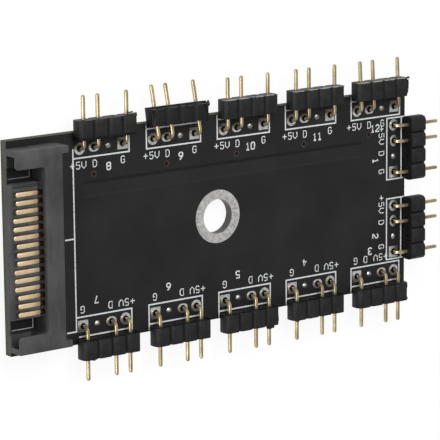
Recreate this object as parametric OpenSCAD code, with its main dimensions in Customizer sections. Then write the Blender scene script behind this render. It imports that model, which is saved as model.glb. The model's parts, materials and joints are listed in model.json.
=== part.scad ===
// Addressable RGB hub: a black circuit board with twelve right-angle pin headers
// round three sides, a plated mounting hole and a drive-power plug at one end.
// The board's component face lies at z = 0 and the mounting hole's axis is the Z axis.

/* [Board] */
// Board length along X
board_length = 75; // [73:0.5:84]
// Board width across Y
board_width = 32; // [31:0.5:40]
// Board thickness
board_thickness = 1.5; // [0.8:0.1:2.4]

// How far the board's middle lies from the mounting hole, towards the plug
board_shift_x = 0.125; // [0:0.025:0.5]
// How far the board's middle lies from the mounting hole, towards headers 3 to 7
board_shift_y = 0.1; // [0:0.025:0.3]

/* [Mounting hole] */
// Bore of the mounting hole
hole_bore = 5.4; // [3:0.1:7]
// Outer diameter of the tinned ring round the hole
hole_ring = 8.3; // [7.6:0.1:10]

/* [Copper and print] */
// Thickness of the tinned pads
pad_thickness = 0.05; // [0.03:0.01:0.1]
// Diameter of the round pads and length of the oval ones
pad_round = 1.85; // [1.6:0.05:2.2]
// Width of the oval pads
pad_oval = 1.4; // [1.3:0.05:1.6]
// Side of the square ground pads
pad_square = 1.8; // [1.6:0.05:2.2]
// Diameter of the small pad at the empty position
pad_empty = 0.95; // [0.9:0.05:1.4]
// Diameter of the hole at the empty position
empty_hole = 0.7; // [0.5:0.05:0.8]
// Diameter of the holes that the pins are soldered in
pin_hole = 1; // [0.9:0.02:1.1]
// Thickness of the white print
print_thickness = 0.03; // [0.02:0.01:0.06]
// Length of a header's printed frame, to the middle of its lines
frame_width = 9.97; // [9.4:0.01:10.2]
// Distance from the pads to the frame's inner line
frame_back = 1.41; // [1.2:0.01:1.6]
// Distance from the pads to the line beside the moulding
frame_front = 1.59; // [1.3:0.01:1.7]
// Distance of the print from the board's edges
print_edge_gap = 0.25; // [0.15:0.05:0.6]
// Width of the printed lines
print_line = 0.22; // [0.15:0.01:0.4]
// Height of the cone of solder under each pin
solder_height = 0.6; // [0.4:0.05:0.9]
// Height of the drop of solder at the empty position
solder_drop = 0.22; // [0.1:0.02:0.4]
// Depth from the component face to the solder round a pin
solder_depth = 0.3; // [0.1:0.05:0.8]

/* [Print round the plug] */
// Distance of the long rule's end from the long edge beside headers 8 to 12
rule_top_gap = 2.55; // [2.2:0.05:3]
// Distance of the long rule's end from the long edge beside headers 3 to 7
rule_bottom_gap = 2; // [1.6:0.05:2.4]
// Gap between the contacts' feet and the printed stubs
stub_gap = 1; // [0.5:0.05:1.2]
// Gap that the frames beside the rule leave on its side
open_gap = 0.55; // [0.3:0.05:0.8]
// Width of the marks in the plug's mouth
mark_line = 0.12; // [0.08:0.01:0.2]
// Distance of the marks from the mouth's back
mark_back = 0.4; // [0.2:0.05:0.8]
// Distance of the mark beside the tongue from it
tongue_mark_gap = 0.4; // [0.2:0.05:0.6]
// Length of that mark's cross stroke
tongue_mark_stroke = 0.9; // [0.5:0.05:1.4]
// Distance of the mark beside the arm from it
arm_mark_gap = 0.2; // [0.1:0.05:0.4]
// Length of that mark's cross stroke
arm_mark_stroke = 1.5; // [0.8:0.05:1.8]

/* [Header layout] */
// Length of board kept for the plug, up to the first header's printed frame
plug_zone = 11.44; // [11.4:0.02:12.4]
// Gap from the last header's printed frame to the board's end
row_end_gap = 1.11; // [0.6:0.01:2]
// Distance between the two headers on the short edge
end_pitch = 13.12; // [11:0.02:13.4]
// Distance of the pad rows from the long edges
pad_inset_side = 2.59; // [2.4:0.01:3.2]
// Distance of the pad row from the short edge
pad_inset_end = 2.45; // [2.2:0.01:3.2]

/* [Crooked headers] */
// How far the moulding of header eight sits in towards the board
inset_of_eight = 0.35; // [0:0.05:0.4]
// Sideways lean of the pins of header nine, in degrees
lean_of_nine = 2.5; // [0:0.5:4]
// How far the pins of header nine point down, in degrees
drop_of_nine = 10; // [0:1:10]
// How far header nine stands up out of its holes
lift_of_nine = 0.34; // [0.34:0.02:0.5]
// How far the moulding and tips of header nine are slid out
slide_of_nine = 0.12; // [0:0.02:0.4]
// Sideways lean of the pins of header twelve, in degrees
lean_of_twelve = 2.7; // [0:0.1:4]

/* [Headers] */
// Distance between neighbouring pins
pin_pitch = 2.54; // [2.5:0.01:2.6]
// Thickness of the square pins
pin_size = 0.52; // [0.44:0.02:0.64]
// Chamfer along the edges of the pins
pin_edge = 0.08; // [0.04:0.01:0.12]
// Height of the pins' middle above the board
pin_height = 1.2; // [1.1:0.05:1.6]
// Radius of the bend in the pins, to the middle of the pin
bend_radius = 0.8; // [0.6:0.05:1]
// Reach of the pins, from the pad row to the tip
pin_reach = 8.12; // [7.6:0.02:9]
// Length of the taper at the pins' tips
pin_tip = 0.3; // [0.2:0.05:0.5]
// Length of the pins below the board
pin_tail = 1; // [0.8:0.1:1.6]
// Distance from the pad row to the header's moulding
moulding_start = 1.87; // [1.6:0.01:2.2]
// Size of the header's moulding along the pins
moulding_depth = 2.9; // [2.3:0.05:3.2]
// Height of the header's moulding
moulding_height = 2.4; // [2.2:0.05:2.6]
// Depth of the break-off notches between the positions
notch_depth = 0.4; // [0.2:0.05:0.7]
// Thickness of the web between two positions, in the height of the moulding
web_height = 0.95; // [0.6:0.05:1.2]
// Length of the snapped-off web left at each end
burr_length = 0.08; // [0.04:0.01:0.14]

/* [Drive-power plug] */
// Width of the plug across Y
plug_width = 30; // [29:0.1:30.6]
// Height of the plug above the board
plug_height = 3.8; // [3.6:0.1:4.6]
// How far the plug's arms stand out past the board's edge
arm_overhang = 0.775; // [0.4:0.025:1.6]
// Width of each arm
arm_width = 2.7; // [2.4:0.05:3]
// Depth of the mouth between the arms
mouth_depth = 5; // [4.6:0.1:6]
// Radius of the mouth's inner corners
mouth_radius = 0.5; // [0.2:0.05:0.8]
// Thickness of the plug's block behind the mouth
block_depth = 3; // [2.6:0.1:3.6]
// Length of the ears behind the block
ear_length = 1.1; // [0.6:0.05:1.4]
// Width of the ears
ear_width = 1.05; // [0.8:0.05:1.4]
// Bevel at the inner corners of the arms' ends
arm_corner = 0.4; // [0.2:0.05:0.8]
// Chamfer under the ends of the arms
arm_chamfer = 0.6; // [0.3:0.05:0.9]
// Width of the tongue that carries the contacts
tongue_width = 20.05; // [19.8:0.05:20.6]
// Thickness of the tongue
tongue_thickness = 1.3; // [1.1:0.05:1.4]
// Height of the tongue's contact face above the board
tongue_top = 2.45; // [2.3:0.05:2.7]
// How far the tongue stands out past the board's edge
tongue_overhang = 1.325; // [1:0.025:2]
// Chamfer on the tongue's leading edges
tongue_chamfer = 0.25; // [0.1:0.05:0.4]
// Outer wall beside the pockets in the arms' ends
pocket_wall = 0.85; // [0.6:0.05:1.2]
// Height of the pockets
pocket_height = 2.2; // [1.6:0.05:2.3]
// Height of the pockets' floor above the board
pocket_floor = 1.2; // [1.05:0.05:1.3]
// Depth of the pockets
pocket_depth = 3.5; // [2:0.1:4.4]

/* [Contacts] */
// Distance between neighbouring contacts
contact_pitch = 1.27; // [1.26:0.01:1.28]
// Width of a contact
contact_width = 0.7; // [0.5:0.05:0.8]
// Thickness of a contact
contact_thickness = 0.25; // [0.2:0.05:0.3]
// How far a contact stands out of the tongue
contact_rise = 0.06; // [0.03:0.01:0.1]
// Sideways place of the middle contact on the tongue
contact_offset = -0.43; // [-0.6:0.01:0]
// Distance from the tongue's tip to a long contact
long_contact_start = 0.75; // [0.5:0.05:1]
// Distance from the tongue's tip to a short contact
short_contact_start = 1.25; // [1.05:0.05:1.5]
// Length of the contacts' feet on the board
foot_length = 1.3; // [0.9:0.05:1.6]
// Length of the pit in the tongue at each contact's root
root_pit = 0.6; // [0.35:0.05:0.8]
// Depth of the pit below the tongue's contact face
root_pit_depth = 0.5; // [0.35:0.05:0.6]
// Height of the window in the block above each contact
root_window = 0.35; // [0.2:0.05:0.5]
// Depth of that window into the block
root_window_depth = 1; // [0.6:0.1:2]

/* [Vias] */
// Outer diameter of the copper round a via
via_outer = 1.15; // [0.9:0.05:1.3]
// Diameter of a via's bore
via_bore = 0.5; // [0.3:0.05:0.6]
// Thickness of a via's copper barrel
via_wall = 0.1; // [0.05:0.01:0.15]
// Distance from a long pad row to its vias
via_back = 4.07; // [3.9:0.01:4.6]
// Sideways place of a via from its header's data pad
via_side = 0.12; // [0:0.02:0.4]
// Outer diameter of the small via at the board's corner
edge_via_outer = 0.7; // [0.6:0.05:0.8]
// Diameter of that via's bore
edge_via_bore = 0.3; // [0.2:0.05:0.3]
// Distance of that via from the long edge
edge_via_inset = 0.55; // [0.5:0.05:0.8]
// Distance of that via from the first header's frame
edge_via_gap = 1.18; // [1:0.02:1.6]

/* [Hidden] */
overlap = 1;
round_faces = 32;
small_faces = 16;
hole_faces = 64;
slots = [0, 1, 3];
slot_names = ["5v", "data", "", "ground"];
empty_slot = 2;
last_slot = 3;
headers = [1:12];
contact_groups = [0:4];
pin_half = pin_size / 2;
board_left = -board_length / 2 - board_shift_x;
board_right = board_length / 2 - board_shift_x;
board_top = board_width / 2 - board_shift_y;
header_width = 4 * pin_pitch;
rule_x = board_left + plug_zone;
header_pitch = (board_right - row_end_gap - rule_x - frame_width) / 4;
arm_end = board_left - arm_overhang;
mouth_back = arm_end + mouth_depth;
block_back = mouth_back + block_depth;
mouth_width = plug_width - 2 * arm_width;
tongue_tip = board_left - tongue_overhang;
tongue_bottom = tongue_top - tongue_thickness;
contact_top = tongue_top + contact_rise;
contact_bottom = contact_top - contact_thickness;
pit_bottom = tongue_top - root_pit_depth;
contact_drop = block_back + 0.1;
foot_end = contact_drop + contact_thickness + foot_length;
foot_pad_margin = 0.08;

function pin_name(n, slot) = str("header_", n, "_pin_", slot_names[slot]);
function body_name(n) = str("header_", n, "_body");
function group_name(group) = str("plug_contacts_", group + 1);

// Headers 1 and 2 are on the short edge, 3 to 7 on one long edge and 8 to 12 on the other.
function header_angle(n) = n <= 2 ? -90 : n <= 7 ? 180 : 0;
function header_x(n) =
    n <= 2 ? board_length / 2 - pad_inset_end
    : rule_x + frame_width / 2 + header_pitch * (n <= 7 ? 7 - n : n - 8);
function header_y(n) =
    n <= 2 ? end_pitch * (1.5 - n) : (n <= 7 ? -1 : 1) * (board_width / 2 - pad_inset_side);
function header_inset(n) =
    n <= 2 ? pad_inset_end - board_shift_x : pad_inset_side + (n <= 7 ? 1 : -1) * board_shift_y;
function header_lean(n) = n == 9 ? lean_of_nine : n == 12 ? lean_of_twelve : 0;
function header_drop(n) = n == 9 ? drop_of_nine : 0;
function header_lift(n) = n == 9 ? lift_of_nine : 0;
function header_slide(n) = n == 9 ? slide_of_nine : 0;
function body_slide(n) = header_slide(n) - (n == 8 ? inset_of_eight : 0);
function hole_size(slot) = slot == empty_slot ? empty_hole : pin_hole;
function slot_x(slot) = (slot - 1.5) * pin_pitch;

// Every header has its own frame: X along the pad row and Y out over the board's edge.
module at_header(n) {
    translate([header_x(n), header_y(n), 0])
        rotate(header_angle(n))
            children();
}

module at_slot(n, slot) {
    at_header(n)
        translate([slot_x(slot), 0, 0])
            rotate(header_lean(n))
                children();
}

module pin_section() {
    inner = pin_half - pin_edge;
    polygon([
        [pin_half, inner], [inner, pin_half], [-inner, pin_half], [-pin_half, inner],
        [-pin_half, -inner], [-inner, -pin_half], [inner, -pin_half], [pin_half, -inner]
    ]);
}

// Outline of the straight stretch with its tapered tip, seen square on.
module tip_outline(reach) {
    polygon([
        [-pin_half, 0], [pin_half, 0], [pin_half, reach - pin_tip],
        [pin_half / 2, reach], [-pin_half / 2, reach], [-pin_half, reach - pin_tip]
    ]);
}

// Moves its children to the end of the bend, with Y along the pin's straight stretch.
module along_pin(n) {
    translate([0, bend_radius, pin_height - bend_radius + header_lift(n)])
        rotate([-header_drop(n), 0, 0])
            translate([0, 0, bend_radius])
                children();
}

module pin_shape(n) {
    leg_bottom = header_lift(n) - board_thickness - pin_tail;
    leg_top = header_lift(n) + pin_height - bend_radius;
    straight = pin_reach - bend_radius + header_slide(n);
    translate([0, 0, leg_bottom])
        linear_extrude(leg_top - leg_bottom)
            pin_section();
    translate([0, bend_radius, leg_top])
        rotate([90, 0, -90])
            rotate_extrude(angle = 90 + header_drop(n), $fn = round_faces)
                translate([bend_radius, 0])
                    pin_section();
    along_pin(n)
        intersection() {
            rotate([-90, 0, 0])
                linear_extrude(straight)
                    pin_section();
            translate([0, 0, -pin_size])
                linear_extrude(2 * pin_size)
                    tip_outline(straight);
            rotate([0, 90, 0])
                translate([0, 0, -pin_size])
                    linear_extrude(2 * pin_size)
                        tip_outline(straight);
        }
}

module header_pin(n, slot) {
    color("#d8c48e")
        at_slot(n, slot)
            pin_shape(n);
}

// The moulding is a row of eight-sided lumps, joined at the break-off notches.
module moulding_section() {
    half_width = pin_pitch / 2;
    low = -moulding_height / 2;
    high = moulding_height / 2;
    for (slot = [0:last_slot])
        translate([slot_x(slot), 0])
            polygon([
                [-half_width, low + notch_depth], [notch_depth - half_width, low],
                [half_width - notch_depth, low], [half_width, low + notch_depth],
                [half_width, high - notch_depth], [half_width - notch_depth, high],
                [notch_depth - half_width, high], [-half_width, high - notch_depth]
            ]);
    translate([-header_width / 2 - burr_length, -web_height / 2])
        square([header_width + 2 * burr_length, web_height]);
}

module header_body(n) {
    start = moulding_start - bend_radius + body_slide(n);
    shift = -tan(header_lean(n)) * (moulding_start + moulding_depth / 2);
    color("#2e2f29")
        difference() {
            at_header(n)
                translate([shift, 0, 0])
                    along_pin(n)
                        difference() {
                            translate([0, start + moulding_depth, 0])
                                rotate([90, 0, 0])
                                    linear_extrude(moulding_depth)
                                        moulding_section();
                            translate([slot_x(empty_slot) - pin_half, start - overlap, -pin_half])
                                cube([pin_size, moulding_depth + 2 * overlap, pin_size]);
                        }
            for (slot = slots)
                at_slot(n, slot)
                    pin_shape(n);
        }
}

module board_outline() {
    translate([board_left, board_top - board_width])
        square([board_length, board_width]);
}

// One via behind each header from 8 to 12, and a smaller one at the corner.
module via_places() {
    for (n = [8:12])
        at_header(n)
            translate([slot_x(1) - via_side, -via_back])
                with_via_sizes(via_outer, via_bore)
                    children();
    translate([rule_x - edge_via_gap, board_top - edge_via_inset])
        with_via_sizes(edge_via_outer, edge_via_bore)
            children();
}

module with_via_sizes(outer, bore) {
    $via_outer = outer;
    $via_bore = bore;
    children();
}

module board() {
    color("#1f1f1f")
        translate([0, 0, -board_thickness])
            linear_extrude(board_thickness)
                difference() {
                    board_outline();
                    circle(d = hole_bore, $fn = hole_faces);
                    for (n = headers, slot = [0:last_slot])
                        at_header(n)
                            translate([slot_x(slot), 0])
                                circle(d = hole_size(slot), $fn = small_faces);
                    via_places()
                        circle(d = $via_bore + 2 * via_wall, $fn = small_faces);
                }
}

module on_both_faces() {
    children();
    translate([0, 0, -board_thickness - pad_thickness])
        children();
}

// The rims of the hole are lined with a tinned ring on each face.
module mounting_hole_lining() {
    color("#c9c8c4")
        on_both_faces()
            linear_extrude(pad_thickness)
                difference() {
                    circle(d = hole_ring, $fn = hole_faces);
                    circle(d = hole_bore, $fn = hole_faces);
                }
}

module vias() {
    color("#8d6d52")
        via_places() {
            on_both_faces()
                linear_extrude(pad_thickness)
                    difference() {
                        circle(d = $via_outer, $fn = small_faces);
                        circle(d = $via_bore, $fn = small_faces);
                    }
            translate([0, 0, -board_thickness])
                linear_extrude(board_thickness)
                    difference() {
                        circle(d = $via_bore + 2 * via_wall, $fn = small_faces);
                        circle(d = $via_bore, $fn = small_faces);
                    }
        }
}

module pad_outline(slot) {
    if (slot == 0)
        circle(d = pad_round, $fn = round_faces);
    if (slot == 1) {
        square([pad_round - pad_oval, pad_oval], center = true);
        for (side = [-1, 1])
            translate([side * (pad_round - pad_oval) / 2, 0])
                circle(d = pad_oval, $fn = round_faces);
    }
    if (slot == empty_slot)
        circle(d = pad_empty, $fn = round_faces);
    if (slot == last_slot)
        square(pad_square, center = true);
}

module tinned_pads() {
    color("#cfcdc8") {
        for (n = headers, slot = [0:last_slot])
            at_header(n)
                translate([slot_x(slot), 0, 0])
                    on_both_faces()
                        linear_extrude(pad_thickness)
                            difference() {
                                pad_outline(slot);
                                circle(d = hole_size(slot), $fn = small_faces);
                            }
        for (index = [0:14])
            translate([contact_drop - foot_pad_margin, contact_y(index) - contact_width / 2 - foot_pad_margin, 0])
                cube([foot_end - contact_drop + 2 * foot_pad_margin, contact_width + 2 * foot_pad_margin,
                    pad_thickness]);
    }
}

// Solder fills the lower part of each pin hole and hangs in a cone round the pin's tail.
module pin_solder() {
    bottom = -board_thickness - pad_thickness;
    translate([0, 0, bottom])
        cylinder(d = pin_hole, h = -solder_depth - bottom, $fn = small_faces);
    translate([0, 0, bottom - solder_height])
        cylinder(d1 = 1.4 * pin_size, d2 = pad_oval, h = solder_height, $fn = small_faces);
}

// The empty hole is filled right through, with a drop of solder on each face.
module empty_solder() {
    drop_radius = (pow(pad_empty / 2, 2) + pow(solder_drop, 2)) / (2 * solder_drop);
    translate([0, 0, -board_thickness - pad_thickness])
        cylinder(d = empty_hole, h = board_thickness + 2 * pad_thickness, $fn = small_faces);
    for (face = [0, 1])
        translate([0, 0, -face * board_thickness])
            mirror([0, 0, face])
                translate([0, 0, pad_thickness])
                    intersection() {
                        translate([0, 0, solder_drop - drop_radius])
                            sphere(drop_radius, $fn = small_faces);
                        cylinder(d = 2 * pad_empty, h = 2 * solder_drop, $fn = small_faces);
                    }
}

module solder_joints() {
    color("#b9b8b4") {
        for (n = headers, slot = slots)
            difference() {
                at_header(n)
                    translate([slot_x(slot), 0, 0])
                        pin_solder();
                at_slot(n, slot)
                    pin_shape(n);
            }
        for (n = headers)
            at_header(n)
                translate([slot_x(empty_slot), 0, 0])
                    empty_solder();
    }
}

module line_between(start, end, width = print_line) {
    low = [min(start[0], end[0]), min(start[1], end[1])];
    high = [max(start[0], end[0]), max(start[1], end[1])];
    translate(low - [width / 2, width / 2])
        square(high - low + [width, width]);
}

// Frame round a header's pads, open towards the board's edge and towards the long rule.
// The line beside the moulding is left out where the moulding sits on its place.
module header_frame(n) {
    edge = header_inset(n) - print_edge_gap;
    open_side = n == 7 ? 1 : n == 8 ? -1 : 0;
    front_start = -frame_width / 2 + (open_side == -1 ? open_gap : 0);
    front_end = frame_width / 2 - (open_side == 1 ? open_gap : 0);
    line_between([-frame_width / 2, -frame_back], [frame_width / 2, -frame_back]);
    if (moulding_start + body_slide(n) > frame_front + print_line / 2)
        line_between([front_start, frame_front], [front_end, frame_front]);
    for (side = [-1, 1])
        if (side != open_side)
            line_between([side * frame_width / 2, -frame_back], [side * frame_width / 2, edge]);
}

// A long rule marks the end of the plug's zone, with two stubs, and two marks show in the mouth.
module plug_lines() {
    rule_top = board_top - rule_top_gap;
    rule_bottom = board_top - board_width + rule_bottom_gap;
    stub_start = foot_end + stub_gap;
    mark_start = board_left + print_edge_gap;
    mark_end = mouth_back - mark_back;
    tongue_mark = tongue_width / 2 + tongue_mark_gap - board_shift_y;
    arm_mark = arm_mark_gap - mouth_width / 2 - board_shift_y;
    line_between([rule_x, rule_top], [rule_x, rule_bottom]);
    line_between([stub_start, 0], [rule_x, 0]);
    line_between([stub_start, rule_bottom], [rule_x, rule_bottom]);
    line_between([mark_start, tongue_mark], [mark_end, tongue_mark], mark_line);
    line_between([mark_end, tongue_mark], [mark_end, tongue_mark + tongue_mark_stroke], mark_line);
    line_between([mark_start, arm_mark], [mark_end, arm_mark], mark_line);
    line_between([mark_end, arm_mark], [mark_end, arm_mark + arm_mark_stroke], mark_line);
}

module printed_lines() {
    color("#e6e8e8")
        linear_extrude(print_thickness)
            difference() {
                union() {
                    for (n = headers)
                        at_header(n)
                            header_frame(n);
                    plug_lines();
                }
                for (n = headers, slot = [0:last_slot])
                    at_header(n)
                        translate([slot_x(slot), 0])
                            pad_outline(slot);
            }
}

function contact_y(index) = contact_offset - board_shift_y + (7 - index) * contact_pitch;
function is_long(index) = floor(index / 3) % 2 == 1;

// A contact runs along the tongue, dips at its root, and leaves the block down to a foot.
module contact_shape(index) {
    start = tongue_tip + (is_long(index) ? long_contact_start : short_contact_start);
    dip = mouth_back - root_pit;
    low_top = pit_bottom + contact_thickness;
    translate([0, contact_y(index), 0])
        intersection() {
            rotate([90, 0, 0])
                translate([0, 0, -contact_width])
                    linear_extrude(2 * contact_width)
                        polygon([
                            [start, contact_bottom], [start, contact_top], [dip, contact_top],
                            [dip, low_top], [contact_drop + contact_thickness, low_top],
                            [contact_drop + contact_thickness, pad_thickness + contact_thickness],
                            [foot_end, pad_thickness + contact_thickness], [foot_end, pad_thickness],
                            [contact_drop, pad_thickness], [contact_drop, pit_bottom],
                            [dip - contact_thickness, pit_bottom], [dip - contact_thickness, contact_bottom]
                        ]);
            linear_extrude(plug_height) {
                translate([start + contact_width / 2, 0])
                    circle(d = contact_width, $fn = round_faces);
                translate([start + contact_width / 2, -contact_width / 2])
                    square([foot_end - start, contact_width]);
            }
        }
}

module contact_group(group) {
    color("#e2c08a")
        for (index = [3 * group:3 * group + 2])
            contact_shape(index);
}

module mouth_outline() {
    straight = mouth_width - 2 * mouth_radius;
    translate([-overlap, -mouth_width / 2])
        square([overlap + mouth_depth - mouth_radius, mouth_width]);
    translate([-overlap, -straight / 2])
        square([overlap + mouth_depth, straight]);
    for (side = [-1, 1])
        translate([mouth_depth - mouth_radius, side * straight / 2])
            circle(r = mouth_radius, $fn = round_faces);
}

module plug_outline() {
    difference() {
        translate([0, -plug_width / 2])
            square([mouth_depth + block_depth + ear_length, plug_width]);
        mouth_outline();
        for (side = [-1, 1])
            translate([0, side * mouth_width / 2])
                rotate(45)
                    square(sqrt(2) * arm_corner, center = true);
        translate([mouth_depth + block_depth, ear_width - plug_width / 2])
            square([ear_length + overlap, plug_width - 2 * ear_width]);
    }
}

module tongue_shape() {
    tip = tongue_tip - arm_end;
    rotate([90, 0, 0])
        translate([0, 0, -tongue_width / 2])
            linear_extrude(tongue_width)
                polygon([
                    [tip, tongue_bottom + tongue_chamfer], [tip, tongue_top - tongue_chamfer],
                    [tip + tongue_chamfer, tongue_top], [mouth_depth + overlap, tongue_top],
                    [mouth_depth + overlap, tongue_bottom], [tip + tongue_chamfer, tongue_bottom]
                ]);
}

// A bevel under the arm's end, where it stands out past the board.
module arm_bevel() {
    rotate([90, 0, 0])
        linear_extrude(plug_width + 2 * overlap, center = true)
            polygon([[-overlap, -overlap], [arm_chamfer, -overlap], [arm_chamfer, 0], [0, arm_chamfer],
                [-overlap, arm_chamfer]]);
}

// Each arm's end is hollow, and open towards the tongue.
module arm_pockets() {
    pocket_reach = arm_width - pocket_wall + overlap;
    for (side = [0, 1])
        mirror([0, side, 0])
            translate([-overlap, plug_width / 2 - pocket_wall - pocket_reach, pocket_floor])
                cube([pocket_depth + overlap, pocket_reach, pocket_height]);
}

// A pit in the tongue and a window in the block at each contact's root.
module root_pits() {
    for (index = [0:14])
        translate([mouth_back - root_pit, contact_y(index) - contact_width / 2, pit_bottom])
            cube([root_pit + root_window_depth, contact_width, root_pit_depth + contact_rise + root_window]);
}

module plug_housing() {
    color("#4b4b4b")
        difference() {
            translate([arm_end, -board_shift_y, 0])
                union() {
                    difference() {
                        linear_extrude(plug_height)
                            plug_outline();
                        arm_bevel();
                        arm_pockets();
                    }
                    tongue_shape();
                }
            for (index = [0:14])
                contact_shape(index);
            root_pits();
        }
}

board();
mounting_hole_lining();
printed_lines();
tinned_pads();
solder_joints();
vias();
plug_housing();
for (group = contact_groups)
    contact_group(group);
for (n = headers)
    header_body(n);
for (n = headers, slot = slots)
    header_pin(n, slot);
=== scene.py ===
import json
import math

import bpy
from mathutils import Euler, Matrix, Vector, noise


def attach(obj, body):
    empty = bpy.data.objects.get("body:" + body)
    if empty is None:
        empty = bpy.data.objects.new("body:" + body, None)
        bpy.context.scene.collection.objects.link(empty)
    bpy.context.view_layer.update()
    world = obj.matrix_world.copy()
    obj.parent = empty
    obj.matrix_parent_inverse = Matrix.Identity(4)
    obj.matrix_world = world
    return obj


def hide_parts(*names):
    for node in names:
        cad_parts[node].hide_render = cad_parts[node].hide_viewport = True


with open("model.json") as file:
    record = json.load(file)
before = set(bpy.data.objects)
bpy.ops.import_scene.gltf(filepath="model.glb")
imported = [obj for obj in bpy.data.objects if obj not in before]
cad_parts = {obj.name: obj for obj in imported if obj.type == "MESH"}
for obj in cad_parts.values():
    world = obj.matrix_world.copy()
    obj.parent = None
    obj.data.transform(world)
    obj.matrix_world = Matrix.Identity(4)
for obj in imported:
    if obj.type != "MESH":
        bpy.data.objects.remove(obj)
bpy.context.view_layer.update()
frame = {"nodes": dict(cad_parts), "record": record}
nodes = frame["nodes"]
mm = 0.001

# the object's own layout, in millimetres, as the solids have it
layout = {
    "boardLength": 75,
    "boardWidth": 32,
    "boardThickness": 1.5,
    "boardMiddle": (-0.125, -0.1),
    "headerPitch": 13.12,
    "rowMiddle": 5.04,
    "sideInset": 2.59,
    "endInset": 2.45,
    "pinPitch": 2.54,
    "mouldingStart": 1.87,
    "mouldingDepth": 2.9,
    "holeRadius": 2.7,
    "printHeight": 0.03,
    "mouthBack": -33.4,
    "blockBack": -30.4,
    "armEnd": -38.4,
    "plugWidth": 30,
    "plugTop": 3.8,
    "tongueWidth": 20.05,
    "tongueTop": 2.45,
    "rootPit": 0.6,
    "contactPitch": 1.27,
    "contactHalf": 0.35,
    "contactMiddle": -0.43,
    "contactFrom": -38.2,
}

# how far the pad rows lie from the middle, on the long sides and on the short one
sideRow = layout["boardWidth"] / 2 - layout["sideInset"]
endRow = layout["boardLength"] / 2 - layout["endInset"]


class Wire:
    # a shader socket that can be used in sums, so a mask reads as a line of maths
    def __init__(self, shading, socket):
        self.shading = shading
        self.socket = socket

    def maths(self, operation, first, second=None):
        return self.shading.maths(operation, first, second)

    def __add__(self, other):
        return self.maths("ADD", self, other)

    def __radd__(self, other):
        return self.maths("ADD", other, self)

    def __sub__(self, other):
        return self.maths("SUBTRACT", self, other)

    def __rsub__(self, other):
        return self.maths("SUBTRACT", other, self)

    def __mul__(self, other):
        return self.maths("MULTIPLY", self, other)

    def __rmul__(self, other):
        return self.maths("MULTIPLY", other, self)

    def __truediv__(self, other):
        return self.maths("DIVIDE", self, other)

    def __abs__(self):
        return self.maths("ABSOLUTE", self)

    def above(self, level):
        return self.maths("GREATER_THAN", self, level)

    def below(self, level):
        return self.maths("LESS_THAN", self, level)

    def between(self, low, high):
        return self.above(low) * self.below(high)

    def atLeast(self, other):
        return self.maths("MAXIMUM", self, other)

    def ramp(self, low, high, outLow=0.0, outHigh=1.0):
        values = {"Value": self, "From Min": low, "From Max": high, "To Min": outLow, "To Max": outHigh}
        return self.shading.node("ShaderNodeMapRange", {"clamp": True}, values)


class Shading:
    # the nodes of a material or a world, which start empty
    def __init__(self, owner):
        self.owner = owner
        self.owner.use_nodes = True
        self.tree = self.owner.node_tree
        self.tree.nodes.clear()

    def join(self, socket, value):
        if isinstance(value, Wire):
            self.tree.links.new(value.socket, socket)
        else:
            socket.default_value = value

    def node(self, kind, settings=None, values=None, output=0):
        made = self.tree.nodes.new(kind)
        for key, value in (settings or {}).items():
            setattr(made, key, value)
        for key, value in (values or {}).items():
            self.join(made.inputs[key], value)
        return Wire(self, made.outputs[output]) if made.outputs else None

    def maths(self, operation, first, second=None):
        values = {0: first} if second is None else {0: first, 1: second}
        return self.node("ShaderNodeMath", {"operation": operation}, values)

    def ray(self, kind):
        return self.node("ShaderNodeLightPath", output="Is %s Ray" % kind)


class Finish(Shading):
    # one material, whose nodes end in a Principled shader
    def __init__(self, name):
        super().__init__(bpy.data.materials.new(name))
        self.shader = self.tree.nodes.new("ShaderNodeBsdfPrincipled")
        output = self.tree.nodes.new("ShaderNodeOutputMaterial")
        self.tree.links.new(self.shader.outputs[0], output.inputs["Surface"])
        self.place = self.node("ShaderNodeTexCoord", output="Object")

    def millimetres(self):
        # the object's own coordinates as three wires
        made = self.tree.nodes.new("ShaderNodeSeparateXYZ")
        self.join(made.inputs[0], self.place)
        return [Wire(self, socket) / mm for socket in made.outputs]

    def noise(self, size, detail=2.0, rough=0.5, stretch=(1, 1, 1)):
        # size is the width of one blot in millimetres
        scale = [share / (size * mm) for share in stretch]
        scaled = self.node("ShaderNodeMapping", {}, {"Vector": self.place, "Scale": scale})
        values = {"Vector": scaled, "Scale": 1.0, "Detail": detail, "Roughness": rough}
        return self.node("ShaderNodeTexNoise", {}, values)

    def blend(self, factor, first, second):
        made = self.tree.nodes.new("ShaderNodeMix")
        made.data_type = "RGBA"
        self.join(made.inputs[0], factor)
        for socket, value in ((made.inputs[6], first), (made.inputs[7], second)):
            self.join(socket, value if isinstance(value, Wire) else (*value, 1.0))
        return Wire(self, made.outputs[2])

    def bump(self, height, strength, distance):
        values = {"Height": height, "Strength": strength, "Distance": distance * mm}
        return self.node("ShaderNodeBump", {}, values)

    def set(self, **values):
        names = {
            "color": "Base Color",
            "rough": "Roughness",
            "metal": "Metallic",
            "gloss": "Specular IOR Level",
            "normal": "Normal",
        }
        for key, value in values.items():
            self.join(self.shader.inputs[names[key]], value)
        return self.owner


def choose(mask, off, on):
    return off * (1.0 - mask) + on * mask


print("stage: finishes")

# most values of a noise lie in this span
noiseSpan = (0.3, 0.7)

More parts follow.
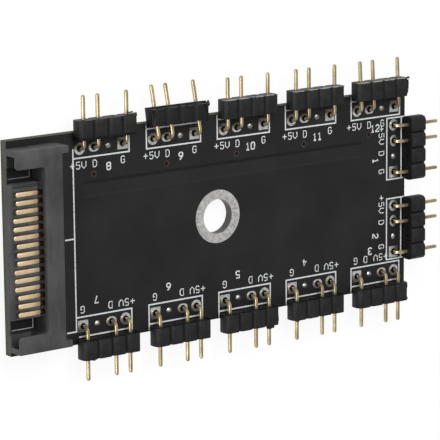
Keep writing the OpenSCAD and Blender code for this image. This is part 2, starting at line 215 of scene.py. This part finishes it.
maskLook = {
    "black": (0.0080, 0.0080, 0.0082),
    "worn": (0.0125, 0.0125, 0.0128),
    "wornShare": (0.35, 0.7),
    "track": (0.0150, 0.0150, 0.0155),
    "gap": (0.0035, 0.0035, 0.0035),
    "edge": (0.090, 0.092, 0.068),
    "edgeDark": (0.036, 0.036, 0.027),
    "edgeShare": (0.3, 0.75),
    "edgeDepth": 0.012,
    "edgeRough": 0.4,
    "bore": (0.085, 0.083, 0.078),
    "boreMetal": 0.8,
    "cloudSize": 9.0,
    "grainSize": 0.35,
    "weaveSize": 0.22,
    "weaveStretch": (1, 1, 0.25),
    "layerPitch": 0.19,
    "layerShare": 0.18,
    "rough": 0.42,
    "cloudRough": 0.08,
    "grainRough": 0.03,
    "gloss": 0.22,
    "grainHeight": 0.4,
    "weaveHeight": 3.0,
    "trackHeight": 0.8,
    "bump": (0.25, 0.02),
}

# faint copper under the mask: each line's place across the board, its width and how far it shows
tracks = {
    "lines": ((6.1, 0.45, 0.6), (7.2, 1.5, 0.3)),
    "gap": (8.2, 0.5, 0.8),
    "ends": (-25, 29),
    "fade": 1,
    "core": 0.35,
    "rim": 0.65,
}


def makeBoardFinish():
    look = maskLook
    f = Finish("boardMask")
    x, y, z = f.millimetres()
    middleX, middleY = layout["boardMiddle"]
    pastX = abs(x - middleX) - (layout["boardLength"] / 2 - look["edgeDepth"])
    pastY = abs(y - middleY) - (layout["boardWidth"] / 2 - look["edgeDepth"])
    edge = pastX.atLeast(pastY).above(0.0)
    fromHole = f.maths("SQRT", x * x + y * y)
    bore = fromHole.below(layout["holeRadius"] + look["edgeDepth"])
    cloud = f.noise(look["cloudSize"], detail=3.0)
    grain = f.noise(look["grainSize"])
    start, end = tracks["ends"]
    within = x.ramp(start, start + tracks["fade"]) * x.ramp(end - tracks["fade"], end, 1.0, 0.0)

    def band(place, width, share):
        return abs(y - place).ramp(width * tracks["core"], width * tracks["rim"], share, 0.0) * within

    raised = sum(band(*line) for line in tracks["lines"])
    face = f.blend(cloud.ramp(*look["wornShare"]), look["black"], look["worn"])
    face = f.blend(raised, face, look["track"])
    face = f.blend(band(*tracks["gap"]), face, look["gap"])
    # the cut edge shows the woven layers of the board
    weave = f.noise(look["weaveSize"], rough=0.6, stretch=look["weaveStretch"])
    layers = f.maths("SINE", z * (2 * math.pi / look["layerPitch"]))
    cut = (weave + layers * look["layerShare"]).ramp(*look["edgeShare"])
    cut = f.blend(cut, look["edgeDark"], look["edge"])
    # the mounting hole's bore is plated metal, darkened further as painted shade inside the hole
    color = f.blend(bore, f.blend(edge, face, cut), look["bore"])
    sheen = grain.ramp(*noiseSpan, -look["grainRough"], look["grainRough"])
    rough = look["rough"] + sheen + (cloud - 0.5) * look["cloudRough"] + edge * look["edgeRough"]
    height = grain * look["grainHeight"] + edge * weave * look["weaveHeight"] + raised * look["trackHeight"]
    return f.set(
        color=color,
        rough=rough,
        metal=bore * look["boreMetal"],
        gloss=look["gloss"],
        normal=f.bump(height, *look["bump"]),
    )


printLook = {
    "ink": (0.52, 0.53, 0.54),
    "thin": (0.33, 0.34, 0.35),
    "thinShare": (0.34, 0.52),
    "patchSize": 0.28,
    # painted shade on the marks in the plug's mouth
    "mouthShade": (0.085, 0.087, 0.090),
    "mouthShadeAcross": (-12, 12),
    "mouthShadeShare": (0.45, 0.85),
    "rough": (0.68, 0.5),
    "bump": (0.2, 0.01),
}


def makePrintFinish():
    look = printLook
    f = Finish("whitePrint")
    x, y, z = f.millimetres()
    patch = f.noise(look["patchSize"], detail=3.0, rough=0.6)
    color = f.blend(patch.ramp(*look["thinShare"]), look["thin"], look["ink"])
    # painted shade: the marks in the plug's mouth are darkened
    mouthShade = x.below(layout["mouthBack"]) * y.ramp(*look["mouthShadeAcross"], *look["mouthShadeShare"])
    color = f.blend(mouthShade, color, look["mouthShade"])
    rough = patch.ramp(*noiseSpan, *look["rough"])
    return f.set(color=color, rough=rough, normal=f.bump(patch, *look["bump"]))


tinLook = {
    "bright": (0.88, 0.87, 0.85),
    "dull": (0.44, 0.435, 0.42),
    "dullShare": (0.38, 0.6),
    "lump": 0.7,
    "spotShare": 0.45,
    "shade": (0.085, 0.080, 0.070),
    "shadeFrom": (-0.3, 0.5),
    "shadeShare": 0.8,
    "shadeAbove": -0.5,
    "endFrom": 34,
    "endHalf": 11,
    # painted shade inside the holes
    "pit": (0.030, 0.027, 0.023),
    "pitMouth": (-0.3, -0.06),
    "pitFloor": 0.2,
    "metal": 0.85,
    "pitMetal": 0.6,
    "rough": (0.42, 0.24),
    "bump": (0.35, 0.03),
}
solderLook = {
    **tinLook,
    "bright": (0.52, 0.515, 0.50),
    "dull": (0.21, 0.207, 0.20),
    "lump": 0.45,
    "bump": (0.35, 0.05),
}


def makeTinFinish(name, look):
    f = Finish(name)
    x, y, z = f.millimetres()
    wave = f.noise(look["lump"])
    spot = f.noise(look["lump"] * look["spotShare"], detail=3.0, rough=0.6)
    color = f.blend(((wave + spot) * 0.5).ramp(*look["dullShare"]), look["dull"], look["bright"])
    # painted shade: a pad is darkened on the side of its pin, and left bright towards the middle of the
    # board
    atEnd = x.above(look["endFrom"]) * abs(y).below(look["endHalf"])
    outward = choose(atEnd, abs(y) - sideRow, x - endRow)
    shade = outward.ramp(*look["shadeFrom"], 0.0, look["shadeShare"]) * z.above(look["shadeAbove"])
    color = f.blend(shade, color, look["shade"])
    # painted shade: inside the holes, between the two faces of the board, it is darkened
    bottom = -layout["boardThickness"]
    pit = z.ramp(*look["pitMouth"], 1.0, 0.0) * z.ramp(bottom, bottom + look["pitFloor"])
    color = f.blend(pit, color, look["pit"])
    return f.set(
        color=color,
        rough=wave.ramp(*noiseSpan, *look["rough"]),
        metal=look["metal"] - pit * look["pitMetal"],
        normal=f.bump(wave, *look["bump"]),
    )


viaLook = {
    "ring": (0.034, 0.022, 0.018),
    "dark": (0.009, 0.006, 0.005),
    "patchSize": 0.4,
    "rough": (0.45, 0.6),
    "gloss": 0.3,
}


def makeViaFinish():
    look = viaLook
    f = Finish("viaCopper")
    patch = f.noise(look["patchSize"])
    color = f.blend(patch.ramp(*noiseSpan), look["dark"], look["ring"])
    return f.set(color=color, rough=patch.ramp(*noiseSpan, *look["rough"]), gloss=look["gloss"])


pinLook = {
    "light": (0.68, 0.56, 0.335),
    "deep": (0.38, 0.295, 0.155),
    "deepShare": (0.36, 0.64),
    "grainSize": 0.08,
    "grainStretch": (1, 1, 1),
    "grainShare": 0.35,
    "cloudSize": 2.2,
    "shade": (0.030, 0.018, 0.010),
    "holeMouth": (0.3, 0.85),
    "holeFloor": 0.1,
    "holeShare": 0.95,
    "holeReach": 0.75,
    "metal": 0.9,
    "plugMetal": 0.5,
    "rough": (0.24, 0.34),
    "bump": (0.06, 0.006),
}
contactLook = {
    **pinLook,
    "light": (0.95, 0.74, 0.46),
    "deep": (0.82, 0.61, 0.34),
    "grainSize": 0.12,
    "grainStretch": (0.1, 1, 1),
    "metal": 0.74,
}


def makeGoldFinish(name, look):
    f = Finish(name)
    x, y, z = f.millimetres()
    grain = f.noise(look["grainSize"], stretch=look["grainStretch"])
    cloud = f.noise(look["cloudSize"])
    mixed = grain * look["grainShare"] + cloud * (1 - look["grainShare"])
    color = f.blend(mixed.ramp(*look["deepShare"]), look["deep"], look["light"])
    # painted shade: the gold is darkened at the root of a contact, in the pit and on through the block
    back, pit = layout["mouthBack"], layout["rootPit"]
    inPlug = x.ramp(back - pit, back - pit / 2) * x.below(layout["blockBack"])
    # and painted shade where a pin goes down into its hole
    reach = look["holeReach"]
    atPads = abs(y).below(sideRow + reach) * x.below(endRow + reach)
    bottom = -layout["boardThickness"]
    inHole = z.ramp(*look["holeMouth"], look["holeShare"], 0.0) * z.ramp(bottom, bottom + look["holeFloor"])
    color = f.blend(inPlug.atLeast(inHole * atPads), color, look["shade"])
    return f.set(
        color=color,
        rough=grain.ramp(*noiseSpan, *look["rough"]),
        metal=look["metal"] - inPlug * look["plugMetal"],
        normal=f.bump(grain, *look["bump"]),
    )


plugLook = {
    "body": (0.0305, 0.0310, 0.0322),
    "dust": (0.0535, 0.0540, 0.0555),
    "dustShare": (0.38, 0.62),
    "cloudSize": 2.2,
    "cloudStretch": (1, 0.35, 1),
    "grainSize": 0.16,
    "grainShare": 0.25,
    # painted shade in the mouth, the hollow arms and along the contacts' edges
    "hollow": (0.0085, 0.0085, 0.0088),
    "hollowShare": 0.85,
    "hollowFrom": (1.3, 0.1),
    "endSkin": 0.12,
    "backSkin": 0.05,
    "sideWall": 0.3,
    "tongueSkin": 0.02,
    "edgeShade": (0.02, 0.16),
    "edgeShare": 0.7,
    "tongueSpan": 0.1,
    "rough": (0.46, 0.60),
    "gloss": 0.24,
    "bump": (0.3, 0.03),
}


def makePlugFinish():
    look = plugLook
    f = Finish("plugPlastic")
    x, y, z = f.millimetres()
    grain = f.noise(look["grainSize"], detail=3.0, rough=0.6)
    cloud = f.noise(look["cloudSize"], detail=3.0, rough=0.6, stretch=look["cloudStretch"])
    mixed = grain * look["grainShare"] + cloud * (1 - look["grainShare"])
    color = f.blend(mixed.ramp(*look["dustShare"]), look["body"], look["dust"])
    # the mouth's walls and the hollow arms get less light the deeper they go
    back, top, tongue = layout["mouthBack"], layout["plugTop"], layout["tongueTop"]
    inside = x.between(layout["armEnd"] + look["endSkin"], back + look["backSkin"])
    within = abs(y).below(layout["plugWidth"] / 2 - look["sideWall"])
    beside = abs(y).above(layout["tongueWidth"] / 2 + look["tongueSkin"])
    behind = x.above(back - layout["rootPit"] - look["tongueSkin"])
    low, high = look["hollowFrom"]
    deep = z.ramp(top - low, top - high, 1.0, 0.0)
    hollow = inside * within * beside.atLeast(behind) * deep
    color = f.blend(hollow * look["hollowShare"], color, look["hollow"])
    # painted shade: the tongue is darkened along the contacts' edges
    toContact = f.maths("PINGPONG", y - layout["contactMiddle"], layout["contactPitch"] / 2)
    near, far = (layout["contactHalf"] + reach for reach in look["edgeShade"])
    onTongue = z.between(tongue - look["tongueSpan"], tongue + look["tongueSpan"])
    along = x.between(layout["contactFrom"], back)
    shade = toContact.ramp(near, far, 1.0, 0.0) * onTongue * along
    color = f.blend(shade * look["edgeShare"], color, look["hollow"])
    return f.set(
        color=color,
        rough=grain.ramp(*noiseSpan, *look["rough"]),
        gloss=look["gloss"],
        normal=f.bump(grain, *look["bump"]),
    )


mouldingLook = {
    "body": (0.0080, 0.0080, 0.0078),
    "rub": (0.0150, 0.0150, 0.0146),
    "rubShare": (0.4, 0.72),
    "grainSize": 0.12,
    "streakSize": 0.9,
    "endFrom": 36.2,
    # painted shade in the notches, on the side facing the board and on header 9
    "mouldingShade": (0.0020, 0.0020, 0.0020),
    "notchHalf": (0.07, 0.2),
    "notchesTo": 4,
    "innerSkin": 0.06,
    # the pale colour of the painted highlight along the upper row's outer edge
    "torn": (0.260, 0.260, 0.255),
    "highlightFace": (-0.04, 0.06),
    "highlightHeight": (1.2, 2.2),
    "highlightShare": (0.36, 0.5),
    "leaningHalf": 6,
    "leaningFrom": 14.5,
    "leaningShare": 0.75,
    "rough": (0.42, 0.58),
    "gloss": 0.22,
    "bump": (0.25, 0.02),
}


def makeMouldingFinish():
    look = mouldingLook
    f = Finish("headerPlastic")
    x, y, z = f.millimetres()
    grain = f.noise(look["grainSize"], rough=0.6)
    streak = f.noise(look["streakSize"], detail=3.0, rough=0.6)
    color = f.blend(streak.ramp(*look["rubShare"]), look["body"], look["rub"])
    # painted shade: the break-off notches lie between the pins, and are darkened at the bottom
    pitch = layout["headerPitch"]
    atEnd = x.above(look["endFrom"])
    inRow = f.maths("FLOORED_MODULO", x - layout["rowMiddle"] + pitch / 2, pitch) - pitch / 2
    inEnd = f.maths("FLOORED_MODULO", y, pitch) - pitch / 2
    local = choose(atEnd, inRow, inEnd)
    toNotch = f.maths("PINGPONG", local, layout["pinPitch"] / 2)
    dark = toNotch.ramp(*look["notchHalf"], 1.0, 0.0) * abs(local).below(look["notchesTo"])
    # and the side that looks at the board gets little light
    start = layout["mouldingStart"] + look["innerSkin"]
    inner = choose(atEnd, sideRow + start - abs(y), endRow + start - x).above(0.0)
    color = f.blend(dark.atLeast(inner), color, look["mouldingShade"])
    # painted highlight: a pale band along the top of the outer side of the upper row, broken up by the
    # streaks
    face = sideRow + layout["mouldingStart"] + layout["mouldingDepth"]
    onFace = y.between(*(face + skin for skin in look["highlightFace"]))
    edgeHighlight = onFace * z.ramp(*look["highlightHeight"]) * streak.ramp(*look["highlightShare"])
    color = f.blend(edgeHighlight * (1.0 - dark), color, look["torn"])
    # the crooked header 9 leans out of the light
    besideNine = abs(x - (layout["rowMiddle"] - pitch)).below(look["leaningHalf"])
    leaning = besideNine * y.above(look["leaningFrom"])
    color = f.blend(leaning * look["leaningShare"], color, look["mouldingShade"])
    return f.set(
        color=color,
        rough=grain.ramp(*noiseSpan, *look["rough"]),
        gloss=look["gloss"],
        normal=f.bump(grain + streak, *look["bump"]),
    )


finishes = {
    "black_board": makeBoardFinish(),
    "white_print": makePrintFinish(),
    "tinned_copper": makeTinFinish("tinnedCopper", tinLook),
    "solder": makeTinFinish("solder", solderLook),
    "via_copper": makeViaFinish(),
    "contact_gold": makeGoldFinish("contactGold", contactLook),
    "pin_gold": makeGoldFinish("pinGold", pinLook),
    "plug_plastic": makePlugFinish(),
    "header_plastic": makeMouldingFinish(),
}

for entry in frame["record"]["subparts"]:
    holder = nodes[entry["node"]]
    holder.data.materials.clear()
    holder.data.materials.append(finishes[entry["material_slot"]])


def deselectAll():
    if bpy.context.object and bpy.context.object.mode != "OBJECT":
        bpy.ops.object.mode_set(mode="OBJECT")
    bpy.ops.object.select_all(action="DESELECT")


def pick(*objects):
    deselectAll()
    for item in objects:
        item.select_set(True)
    bpy.context.view_layer.objects.active = objects[0]


def copyOf(model):
    copied = model.copy()
    copied.data = model.data.copy()
    bpy.context.collection.objects.link(copied)
    return copied


def removeAll(*objects):
    pick(*objects)
    bpy.ops.object.delete()


def joined(*objects):
    pick(*objects)
    bpy.ops.object.join()
    return bpy.context.object


def addPiece(piece, name, slotName, *replaced):
    piece.name = name
    piece.data.name = name
    piece.data.materials.clear()
    piece.data.materials.append(finishes[slotName])
    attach(piece, "root")
    if replaced:
        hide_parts(*replaced)
    return piece


def headerPlace(number):
    # the middle of a header's pad row, and how far the header is turned: headers 1 and 2 are on
    # the short side, 3 to 7 on the long side at -Y and 8 to 12 on the one at +Y
    pitch, middle = layout["headerPitch"], layout["rowMiddle"]
    if number <= 2:
        return endRow, pitch * (1.5 - number), -90
    if number <= 7:
        return middle + pitch * (5 - number), -sideRow, 180
    return middle + pitch * (number - 10), sideRow, 0


def boardPlace(number, along, out, height=0.0):
    # a place given from the middle of a header's pad row, along it and out over the board's edge
    x, y, turn = headerPlace(number)
    atRow = Matrix.Translation((x * mm, y * mm, height * mm))
    turned = atRow @ Matrix.Rotation(math.radians(turn), 4, "Z")
    return turned @ Matrix.Translation((along * mm, out * mm, 0))


print("stage: softened mouldings")

softening = {
    "plugEdge": 0.09,
    "headerEdge": 0.045,
    "contactEdge": 0.1,
    "cornersFrom": 25,
    "smoothTo": 32,
    "weld": 0.002,
    "flatTo": 1,
    "steps": 2,
}


def softenedCopy(node, name, slotName, width):
    piece = copyOf(nodes[node])
    pick(piece)
    bpy.ops.object.mode_set(mode="EDIT")
    bpy.ops.mesh.select_all(action="SELECT")
    bpy.ops.mesh.remove_doubles(threshold=softening["weld"] * mm)
    bpy.ops.mesh.dissolve_limited(angle_limit=math.radians(softening["flatTo"]))
    bpy.ops.object.mode_set(mode="OBJECT")
    bevel = piece.modifiers.new("softEdges", "BEVEL")
    bevel.width = width * mm
    bevel.segments = softening["steps"]
    bevel.limit_method = "ANGLE"
    bevel.angle_limit = math.radians(softening["cornersFrom"])
    bevel.use_clamp_overlap = True
    bpy.ops.object.modifier_apply(modifier=bevel.name)
    bpy.ops.object.shade_smooth_by_angle(angle=math.radians(softening["smoothTo"]))
    return addPiece(piece, name, slotName, node)


softenedCopy("plug_housing", "plugMoulding", "plug_plastic", softening["plugEdge"])
for group in range(1, 6):
    source, name = "plug_contacts_%d" % group, "plugContacts%d" % group
    softenedCopy(source, name, "contact_gold", softening["contactEdge"])
for number in range(1, 13):
    source, name = "header_%d_body" % number, "headerMoulding%d" % number
    softenedCopy(source, name, "header_plastic", softening["headerEdge"])


print("stage: torn ends")

# bits of plastic left where a header was snapped off its strip, listed for each header: where
# a bit's middle lies along the row, its outer end, its top, and its length, depth and thickness
tornBits = {
    8: (
        (4.1, 4.75, 2.42, 1.3, 0.5, 0.24),
        (4.75, 4.75, 2.3, 0.55, 0.5, 0.35),
        (3.9, 4.95, 2.2, 0.8, 0.6, 0.3),
    ),
    9: (
        (-4.75, 4.7, 2.3, 0.8, 0.6, 0.5),
        (-4.0, 4.95, 2.3, 1.0, 0.25, 0.24),
        (4.8, 4.95, 2.3, 0.8, 0.6, 0.5),
        (4.93, 4.45, 2.15, 0.35, 2.3, 0.7),
        (4.1, 5.0, 2.2, 0.9, 0.3, 0.3),
        (5.0, 5.15, 2.2, 0.25, 0.5, 0.3),
        (-4.93, 4.4, 2.15, 0.35, 2.2, 0.6),
        (1.4, 4.9, 2.3, 1.2, 0.2, 0.2),
    ),
    12: (
        (4.4, 4.9, 2.4, 0.9, 0.25, 0.2),
        (4.96, 4.4, 2.1, 0.3, 2.2, 0.6),
        (4.85, 4.95, 2.4, 0.35, 0.3, 0.2),
    ),
    11: ((4.2, 4.85, 2.4, 1.2, 0.2, 0.16),),
    10: ((1.2, 4.85, 2.4, 0.7, 0.2, 0.16), (4.5, 4.85, 2.4, 0.7, 0.25, 0.2)),
    3: (
        (-4.98, 4.45, 2.0, 0.35, 2.3, 0.6),
        (4.85, 4.6, 2.1, 0.5, 0.5, 0.4),
        (-5.0, 4.7, 2.1, 0.35, 0.4, 0.35),
    ),
    4: ((3.95, 5.15, 1.8, 0.45, 0.5, 0.5),),
    5: (
        (-3.65, 5.3, 1.95, 1.3, 0.6, 0.4),
        (-3.1, 4.95, 2.0, 0.5, 0.3, 0.35),
        (-4.96, 4.3, 2.0, 0.3, 1.8, 0.5),
    ),
    6: ((-4.8, 4.8, 2.1, 0.45, 0.35, 0.3),),
    7: ((3.25, 4.98, 2.1, 0.55, 0.35, 0.35), (4.75, 4.75, 2.1, 0.4, 0.3, 0.3)),
}
tearing = {
    "cuts": 4,
    "roundness": 0.45,
    "lump": 0.95,
    "coarse": 3.1,
    "coarseDepth": 0.4,
    "fine": 7.9,
    "fineDepth": 0.25,
    "seedStep": (3.7, 1.3, 0),
    "turnStep": 37,
    "tilt": 6,
}

deselectAll()
bpy.ops.mesh.primitive_cube_add(size=1)
tornModel = bpy.context.object
bpy.ops.object.mode_set(mode="EDIT")
bpy.ops.mesh.subdivide(number_cuts=tearing["cuts"])
bpy.ops.transform.tosphere(value=tearing["roundness"])
bpy.ops.object.mode_set(mode="OBJECT")


def tornBit(count, number, along, out, top, length, depth, thickness):
    flake = copyOf(tornModel)
    seed = Vector([count * step for step in tearing["seedStep"]])
    for vertex in flake.data.vertices:
        coarse = noise.noise(vertex.co * tearing["coarse"] + seed) * tearing["coarseDepth"]
        fine = noise.noise(vertex.co * tearing["fine"] + seed) * tearing["fineDepth"]
        vertex.co *= tearing["lump"] + (coarse + fine)
    flake.data.transform(Matrix.Diagonal((length * mm, depth * mm, thickness * mm, 1)))
    # each bit is tilted a little in its own way
    full = 2 * tearing["tilt"]
    turns = [(count * tearing["turnStep"] * axis) % full - tearing["tilt"] for axis in (1, 2, 3)]
    flake.data.transform(Euler([math.radians(turn) for turn in turns]).to_matrix().to_4x4())
    flake.data.transform(boardPlace(number, along, out - depth / 2, top - thickness / 2))
    return flake


bits = [(number, *bit) for number, listed in tornBits.items() for bit in listed]
flakes = [tornBit(count, *bit) for count, bit in enumerate(bits)]
removeAll(tornModel)
addPiece(joined(*flakes), "tornBits", "header_plastic")


print("stage: port lettering")

# strokes of each sign on a field one wide and one high
signs = {
    "+": [[(0, 0.5), (1, 0.5)], [(0.5, 0), (0.5, 1)]],
    "V": [[(0, 1), (0, 0.34), (0.5, 0), (1, 0.34), (1, 1)]],
    "D": [[(0, 0), (0, 1), (0.7, 1), (1, 0.76), (1, 0.24), (0.7, 0), (0, 0)]],
    "G": [
        [(1, 0.82), (0.76, 1), (0.24, 1), (0, 0.82), (0, 0.18), (0.24, 0)]
        + [(0.76, 0), (1, 0.18), (1, 0.48), (0.55, 0.48)],
    ],
    "0": [
        [(0.24, 0), (0.76, 0), (1, 0.18), (1, 0.82), (0.76, 1)]
        + [(0.24, 1), (0, 0.82), (0, 0.18), (0.24, 0)],
    ],
    "1": [[(0.15, 0.76), (0.5, 1), (0.5, 0)], [(0.12, 0), (0.88, 0)]],
    "2": [[(0, 0.8), (0.24, 1), (0.76, 1), (1, 0.8), (1, 0.62), (0, 0.14), (0, 0), (1, 0)]],
    "3": [
        [(0, 0.86), (0.24, 1), (0.76, 1), (1, 0.84), (1, 0.66), (0.8, 0.53), (0.4, 0.53)],
        [(0.8, 0.53), (1, 0.4), (1, 0.16), (0.76, 0), (0.24, 0), (0, 0.14)],
    ],
    "4": [[(0.7, 0), (0.7, 1), (0, 0.3), (1, 0.3)]],
    "5": [
        [(1, 1), (0.05, 1), (0.05, 0.56), (0.76, 0.56), (1, 0.42)]
        + [(1, 0.16), (0.78, 0), (0.22, 0), (0, 0.16)],
    ],
    "6": [
        [(0.8, 1), (0.3, 0.74), (0, 0.4), (0, 0.16), (0.24, 0), (0.76, 0)]
        + [(1, 0.16), (1, 0.38), (0.76, 0.54), (0.12, 0.54)],
    ],
    "7": [[(0, 1), (1, 1), (0.4, 0)]],
    "8": [
        [(0.24, 0.53), (0, 0.67), (0, 0.86), (0.24, 1), (0.76, 1)]
        + [(1, 0.86), (1, 0.67), (0.76, 0.53), (0.24, 0.53)],
        [(0.76, 0.53), (1, 0.39), (1, 0.15), (0.76, 0), (0.24, 0), (0, 0.15), (0, 0.39), (0.24, 0.53)],
    ],
    "9": [
        [(0.2, 0), (0.7, 0.26), (1, 0.6), (1, 0.84), (0.76, 1), (0.24, 1)]
        + [(0, 0.84), (0, 0.62), (0.24, 0.46), (0.88, 0.46)],
    ],
}

lettering = {
    "wide": 0.62,
    "high": 1.02,
    "stroke": 0.175,
    "rodSteps": 2,
    "plusWide": 0.78,
    "vWide": 0.74,
    "numberWide": 0.66,
    "numberHigh": 1.06,
    "numberStroke": 0.25,
    "digitStep": 0.98,
    "step": 1.03,
    "row": -2.5,
    "supplyAt": -4.12,
    "dataAt": -1.15,
    "groundAt": 3.85,
    "numberAt": 1.3,
    "numberRowTop": -3.2,
    "numberRowSide": -3.72,
}

# headers whose letters are printed at other places along the row, to clear a neighbour
moved = {
    1: {"supplyAt": -2.36, "dataAt": 0.55, "groundAt": 3.51, "numberAt": 1.62},
    2: {"supplyAt": -4.25, "dataAt": -1.29, "groundAt": 2.71, "numberAt": 0.79},
    3: {"supplyAt": -1.15, "dataAt": 2.02, "groundAt": 4.05, "numberAt": 1.05},
    12: {"supplyAt": -4.38, "dataAt": -1.31, "groundAt": 1.43, "numberAt": -0.07},
}


def printedSign(sign, wide, high, stroke):
    # a sign's strokes as round rods, pressed flat into the thickness of the ink
    data = bpy.data.curves.new("sign", "CURVE")
    data.dimensions = "3D"
    data.bevel_depth = stroke / 2 * mm
    data.bevel_resolution = lettering["rodSteps"]
    data.use_fill_caps = True
    for path in signs[sign]:
        closed = path[0] == path[-1]
        corners = path[:-1] if closed else path
        line = data.splines.new("POLY")
        line.points.add(len(corners) - 1)
        line.use_cyclic_u = closed
        for point, (across, up) in zip(line.points, corners):
            point.co = ((across - 0.5) * wide * mm, (up - 0.5) * high * mm, 0, 1)
    item = bpy.data.objects.new("sign", data)
    bpy.context.collection.objects.link(item)
    pick(item)
    bpy.ops.object.convert(target="MESH")
    item = bpy.context.object
    ink = layout["printHeight"]
    pressed = Matrix.Diagonal((1, 1, ink / stroke, 1))
    item.data.transform(Matrix.Translation((0, 0, ink / 2 * mm)) @ pressed)
    return item


def letterModel(sign, width=lettering["wide"], height=lettering["high"]):
    return printedSign(sign, width, height, lettering["stroke"])


def digitModel(digit):
    return printedSign(digit, lettering["numberWide"], lettering["numberHigh"], lettering["numberStroke"])


models = {sign: letterModel(sign) for sign in "5DG"}
models["+"] = letterModel("+", lettering["plusWide"], lettering["plusWide"])
models["V"] = letterModel("V", lettering["vWide"])
for digit in "0123456789":
    models["number" + digit] = digitModel(digit)

letters = []


def printSign(key, number, along, out):
    copied = copyOf(models[key])
    copied.data.transform(boardPlace(number, along, out))
    letters.append(copied)


for number in range(1, 13):
    spots = {**lettering, **moved.get(number, {})}
    for place, letter in enumerate("+5V"):
        printSign(letter, number, spots["supplyAt"] + (place - 1) * spots["step"], spots["row"])
    printSign("D", number, spots["dataAt"], spots["row"])
    printSign("G", number, spots["groundAt"], spots["row"])
    numberRow = spots["numberRowTop"] if number >= 8 else spots["numberRowSide"]
    digits = str(number)
    for place, digit in enumerate(digits):
        shift = (place - (len(digits) - 1) / 2) * spots["digitStep"]
        printSign("number" + digit, number, spots["numberAt"] + shift, numberRow)
removeAll(*models.values())
wording = joined(*letters)
bpy.ops.object.mode_set(mode="EDIT")
bpy.ops.mesh.select_all(action="SELECT")
bpy.ops.mesh.normals_make_consistent(inside=False)
bpy.ops.object.mode_set(mode="OBJECT")
addPiece(wording, "portLettering", "white_print")


print("stage: floor, light and camera")

studio = {
    "floorLevel": -2.52,
    "floorSize": 6000,
    "floorColor": (0.80, 0.80, 0.80, 1),
    "floorGlow": 0.9,
    "worldLevel": 0.42,
    "white": (1, 1, 1, 1),
}

# to the camera and in reflections the floor is mostly a plain glow, so only its shadow shows
f = Shading(bpy.data.materials.new("paleFloor"))
paint = f.node("ShaderNodeBsdfDiffuse", {}, {"Color": studio["floorColor"]})
glow = f.node("ShaderNodeEmission", {}, {"Color": studio["white"], "Strength": 1.0})
share = f.ray("Camera").atLeast(f.ray("Glossy")) * studio["floorGlow"]
surface = f.node("ShaderNodeMixShader", {}, {0: share, 1: paint, 2: glow})
f.node("ShaderNodeOutputMaterial", {}, {"Surface": surface})

deselectAll()
bpy.ops.mesh.primitive_plane_add(size=studio["floorSize"] * mm, location=(0, 0, studio["floorLevel"] * mm))
floor = bpy.context.object
floor.name = "floor"
floor.data.materials.append(f.owner)

# the world is a soft grey light, and white to the camera
world = bpy.data.worlds.new("studio")
bpy.context.scene.world = world
f = Shading(world)
light = f.node("ShaderNodeBackground", {}, {"Color": studio["white"], "Strength": studio["worldLevel"]})
backdrop = f.node("ShaderNodeBackground", {}, {"Color": studio["white"], "Strength": 1.0})
surface = f.node("ShaderNodeMixShader", {}, {0: f.ray("Camera"), 1: light, 2: backdrop})
f.node("ShaderNodeOutputWorld", {}, {"Surface": surface})

# soft boxes: where each stands, in millimetres, its width and its power in watts
lamps = {
    "overhead": {"at": (-60, 240, 380), "size": 320, "power": 2.4},
    "leftFill": {"at": (-420, -40, 160), "size": 260, "power": 0.9},
}
for name, lamp in lamps.items():
    light = bpy.data.lights.new(name, "AREA")
    light.size = lamp["size"] * mm
    light.energy = lamp["power"]
    holder = bpy.data.objects.new(name, light)
    bpy.context.collection.objects.link(holder)
    holder.location = Vector(lamp["at"]) * mm
    holder.rotation_euler = (-Vector(lamp["at"])).to_track_quat("-Z", "Y").to_euler()

cameraLook = {
    "at": (-233.08, 82.08, 318.81),
    "turned": (-11.424, -36.332, -0.672),
    "lens": 215.4,
    "sensor": 36,
    "nearest": 10,
    "furthest": 20000,
}
camera = bpy.data.objects.new("camera", bpy.data.cameras.new("camera"))
bpy.context.collection.objects.link(camera)
camera.location = Vector(cameraLook["at"]) * mm
camera.rotation_euler = [math.radians(angle) for angle in cameraLook["turned"]]
camera.data.lens = cameraLook["lens"]
camera.data.sensor_width = cameraLook["sensor"]
camera.data.clip_start = cameraLook["nearest"] * mm
camera.data.clip_end = cameraLook["furthest"] * mm
bpy.context.scene.camera = camera
bpy.context.scene.view_settings.view_transform = "Standard"

deselectAll()
